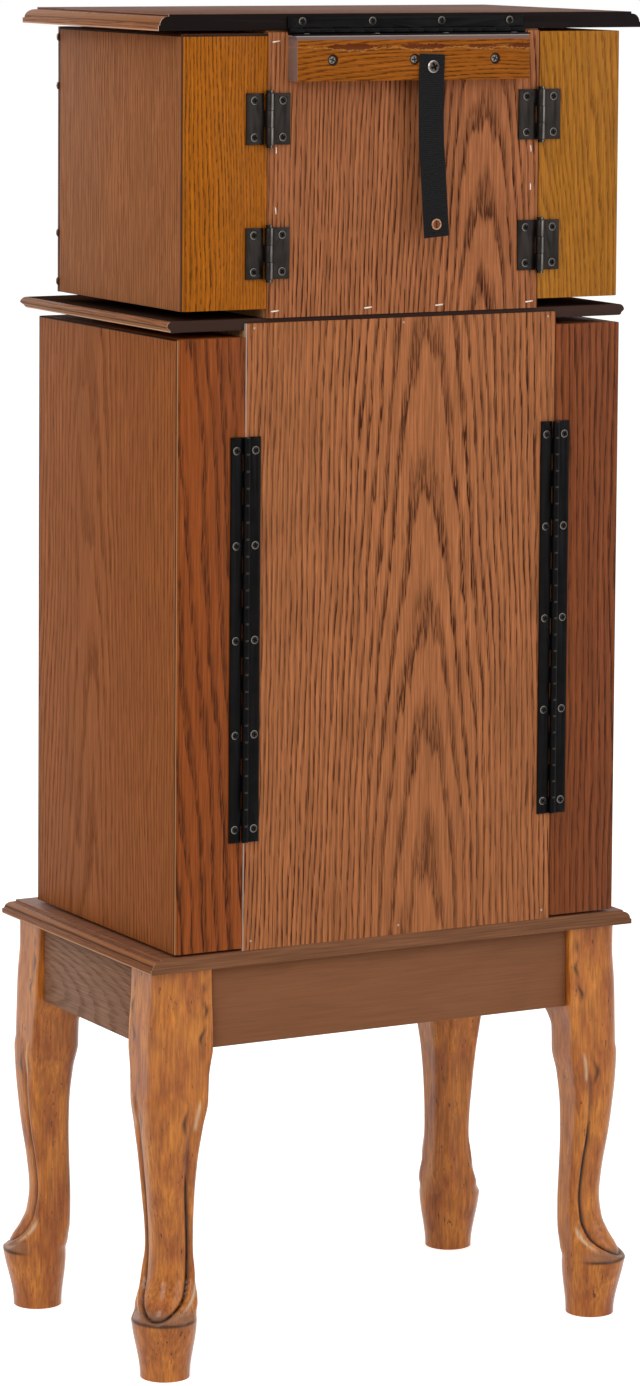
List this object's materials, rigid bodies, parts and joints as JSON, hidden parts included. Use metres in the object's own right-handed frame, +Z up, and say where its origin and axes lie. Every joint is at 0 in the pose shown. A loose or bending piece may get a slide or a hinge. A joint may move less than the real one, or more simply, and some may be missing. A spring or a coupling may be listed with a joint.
{
  "type": "jewelry armoire",
  "caption": "Free-standing oak jewelry armoire: lift-up lid over a divided tray, stepped cases with drawers, swing-out side doors with necklace hooks, carved cabriole legs.",
  "frame": {"origin": "centre of the whole armoire's footprint, on the floor", "axes": "+Z up, drawer fronts face -Y, hinges and tip strap on the +Y side, +X is the object's left as seen from the drawers' side, called right in the names here"},
  "size_m": [0.4258, 0.283, 1.016],
  "materials": {
    "carved_oak": "glossy stained oak, dark flecks",
    "apron_oak": "satin stained oak",
    "board_oak": "satin stained oak, dark rear edges",
    "back_veneer": "satin cathedral-cut oak veneer plywood",
    "side_veneer": "satin straight-grain oak veneer",
    "golden_oak": "satin golden oak",
    "stained_oak": "satin dark stained oak",
    "case_wood": "plain wood, stained",
    "drawer_wood": "plain wood",
    "front_oak": "satin stained oak",
    "lining": "felt",
    "webbing": "woven webbing",
    "hinge_metal": "dark bronze finish, satin",
    "staple_wire": "zinc plated",
    "copper_brass": "worn plating",
    "hook_brass": "satin",
    "mirror_glass": "polished"
  },
  "bodies": {
    "case": {"leg_front_right": "carved_oak", "leg_front_left": "carved_oak", "leg_rear_right": "carved_oak", "leg_rear_left": "carved_oak", "long_aprons": "apron_oak", "short_aprons": "apron_oak", "base_board": "board_oak", "waist_board": "board_oak", "lower_back_panel": "back_veneer", "upper_back_panel": "back_veneer", "case_sides_right": "case_wood", "case_sides_left": "case_wood", "drawer_rails": "case_wood", "lid_tray": "case_wood", "ring_rolls": "lining", "hinge_block": "golden_oak", "fixed_hinge_leaves": "hinge_metal", "case_screws": "hinge_metal", "panel_staples": "staple_wire", "tip_strap": "webbing", "strap_screw": "hinge_metal", "strap_eyelet": "copper_brass"},
    "lid": {"lid_board": "board_oak", "lid_mirror": "mirror_glass", "lid_hinge_leaf": "hinge_metal", "lid_hinge_screws": "hinge_metal"},
    "upper_door_right": {"upper_door_right_frame": "golden_oak", "upper_door_right_side_panel": "side_veneer", "upper_door_right_hooks": "hook_brass", "upper_door_right_hinge_leaf": "hinge_metal", "upper_door_right_column": "board_oak"},
    "upper_door_left": {"upper_door_left_frame": "golden_oak", "upper_door_left_side_panel": "side_veneer", "upper_door_left_hooks": "hook_brass", "upper_door_left_hinge_leaf": "hinge_metal", "upper_door_left_column": "board_oak"},
    "lower_door_right": {"lower_door_right_frame": "stained_oak", "lower_door_right_side_panel": "side_veneer", "lower_door_right_hooks": "hook_brass", "lower_door_right_hinge_leaf": "hinge_metal"},
    "lower_door_left": {"lower_door_left_frame": "stained_oak", "lower_door_left_side_panel": "side_veneer", "lower_door_left_hooks": "hook_brass", "lower_door_left_hinge_leaf": "hinge_metal"},
    "drawer_1": {"drawer_1_box": "drawer_wood", "drawer_1_front": "front_oak", "drawer_1_knobs": "hook_brass"},
    "drawer_2": {"drawer_2_box": "drawer_wood", "drawer_2_front": "front_oak", "drawer_2_knobs": "hook_brass"},
    "drawer_3": {"drawer_3_box": "drawer_wood", "drawer_3_front": "front_oak", "drawer_3_knobs": "hook_brass"},
    "drawer_4": {"drawer_4_box": "drawer_wood", "drawer_4_front": "front_oak", "drawer_4_knobs": "hook_brass"},
    "drawer_5": {"drawer_5_box": "drawer_wood", "drawer_5_front": "front_oak", "drawer_5_knobs": "hook_brass"}
  },
  "joints": [
    {"name": "lid_hinge", "type": "hinge", "parent": "case", "child": "lid", "pos_m": [0, 0.12615, 1.0027], "axis": [-1, 0, 0], "range_deg": [0, 95]},
    {"name": "upper_door_right_hinge", "type": "hinge", "parent": "case", "child": "upper_door_right", "pos_m": [0.1165, 0.12705, 0.89875], "axis": [0, 0, 1], "range_deg": [0, 110]},
    {"name": "upper_door_left_hinge", "type": "hinge", "parent": "case", "child": "upper_door_left", "pos_m": [-0.1165, 0.12705, 0.89875], "axis": [0, 0, -1], "range_deg": [0, 110]},
    {"name": "lower_door_right_hinge", "type": "hinge", "parent": "case", "child": "lower_door_right", "pos_m": [0.1335, 0.12615, 0.5537], "axis": [0, 0, 1], "range_deg": [0, 110]},
    {"name": "lower_door_left_hinge", "type": "hinge", "parent": "case", "child": "lower_door_left", "pos_m": [-0.1335, 0.12615, 0.5537], "axis": [0, 0, -1], "range_deg": [0, 110]},
    {"name": "drawer_1_slide", "type": "slide", "parent": "case", "child": "drawer_1", "axis": [0, -1, 0], "range_m": [0, 0.15]},
    {"name": "drawer_2_slide", "type": "slide", "parent": "case", "child": "drawer_2", "axis": [0, -1, 0], "range_m": [0, 0.15]},
    {"name": "drawer_3_slide", "type": "slide", "parent": "case", "child": "drawer_3", "axis": [0, -1, 0], "range_m": [0, 0.15]},
    {"name": "drawer_4_slide", "type": "slide", "parent": "case", "child": "drawer_4", "axis": [0, -1, 0], "range_m": [0, 0.13]},
    {"name": "drawer_5_slide", "type": "slide", "parent": "case", "child": "drawer_5", "axis": [0, -1, 0], "range_m": [0, 0.13]}
  ]
}
